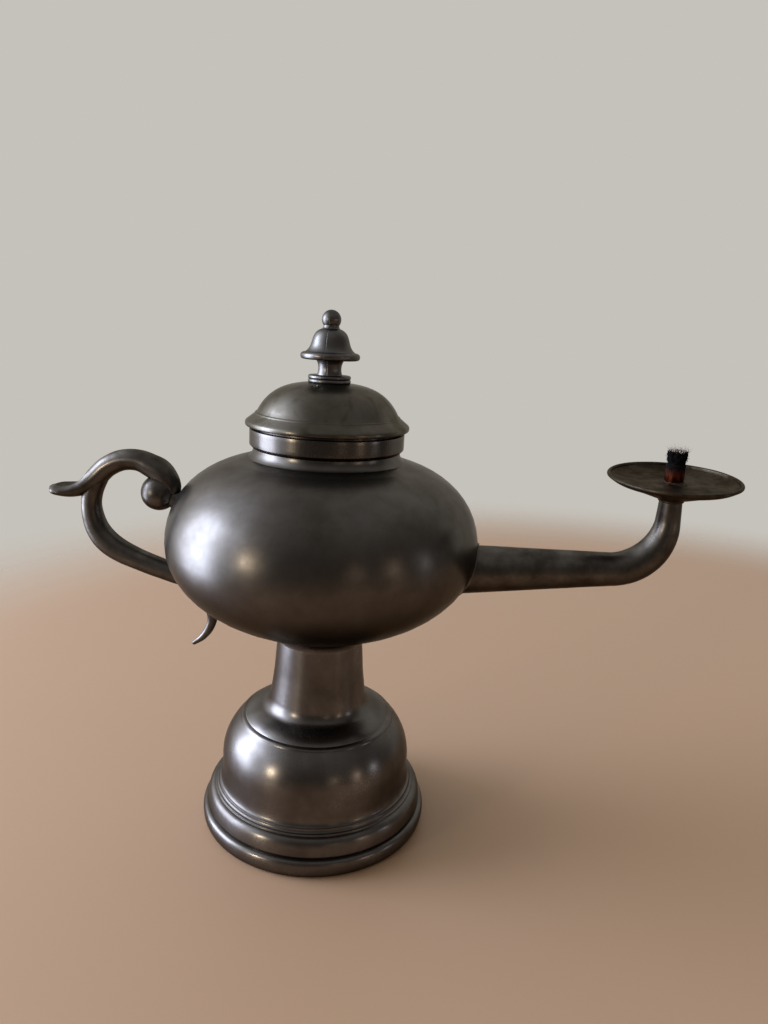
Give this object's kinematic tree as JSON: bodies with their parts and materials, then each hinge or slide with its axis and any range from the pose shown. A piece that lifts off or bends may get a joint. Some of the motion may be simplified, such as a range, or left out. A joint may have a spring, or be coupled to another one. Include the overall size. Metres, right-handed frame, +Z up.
{
  "type": "pewter oil lamp",
  "caption": "Table oil lamp: round font on a stem and bell foot, lift-off domed lid with finial, bent spout with drip pan and wick tube, and scroll handle.",
  "frame": {"origin": "on the lamp's vertical axis at the surface that its foot stands on", "axes": "+Z up along the axis of foot, stem, font, lid and finial; +X from the axis along the spout towards the wick; the handle is on the -X side"},
  "size_m": [0.2412, 0.11, 0.1882],
  "materials": {
    "body_pewter": "satin pewter with a warm grey patina, turned, lightly scratched",
    "band_pewter": "bright turned pewter, worn shiny",
    "cast_pewter": "dark patinated cast pewter, smooth from handling",
    "solder": "dull tin solder",
    "tube_copper": "oxidised red-brown copper",
    "wick_cotton": "braided cotton wick",
    "wick_char": "charred cotton"
  },
  "bodies": {
    "lamp": {"foot_bell": "body_pewter", "stem": "body_pewter", "stem_collar": "body_pewter", "bowl_lower": "body_pewter", "bowl_upper": "body_pewter", "neck_band": "band_pewter", "spout": "cast_pewter", "spout_solder": "solder", "wick_tail": "wick_cotton", "handle_scroll": "cast_pewter", "handle_limb": "cast_pewter", "handle_solder": "solder"},
    "lid": {"lid_dome": "body_pewter", "lid_bezel": "body_pewter", "finial_base": "body_pewter", "finial": "body_pewter", "finial_rivet": "body_pewter"},
    "burner": {"drip_pan": "body_pewter", "pan_cone": "body_pewter", "wick_tube": "tube_copper", "tube_collar": "solder"},
    "wick": {"wick_core": "wick_cotton", "wick_head": "wick_char"}
  },
  "joints": [
    {"name": "lid_lift", "type": "slide", "parent": "lamp", "child": "lid", "axis": [0, 0, 1], "range_m": [0, 0.04]},
    {"name": "burner_lift", "type": "slide", "parent": "lamp", "child": "burner", "axis": [-0.0161, -0.0661, 0.9977], "range_m": [0, 0.03]},
    {"name": "wick_raise", "type": "slide", "parent": "burner", "child": "wick", "axis": [-0.0161, -0.0661, 0.9977], "range_m": [0, 0.008]}
  ]
}
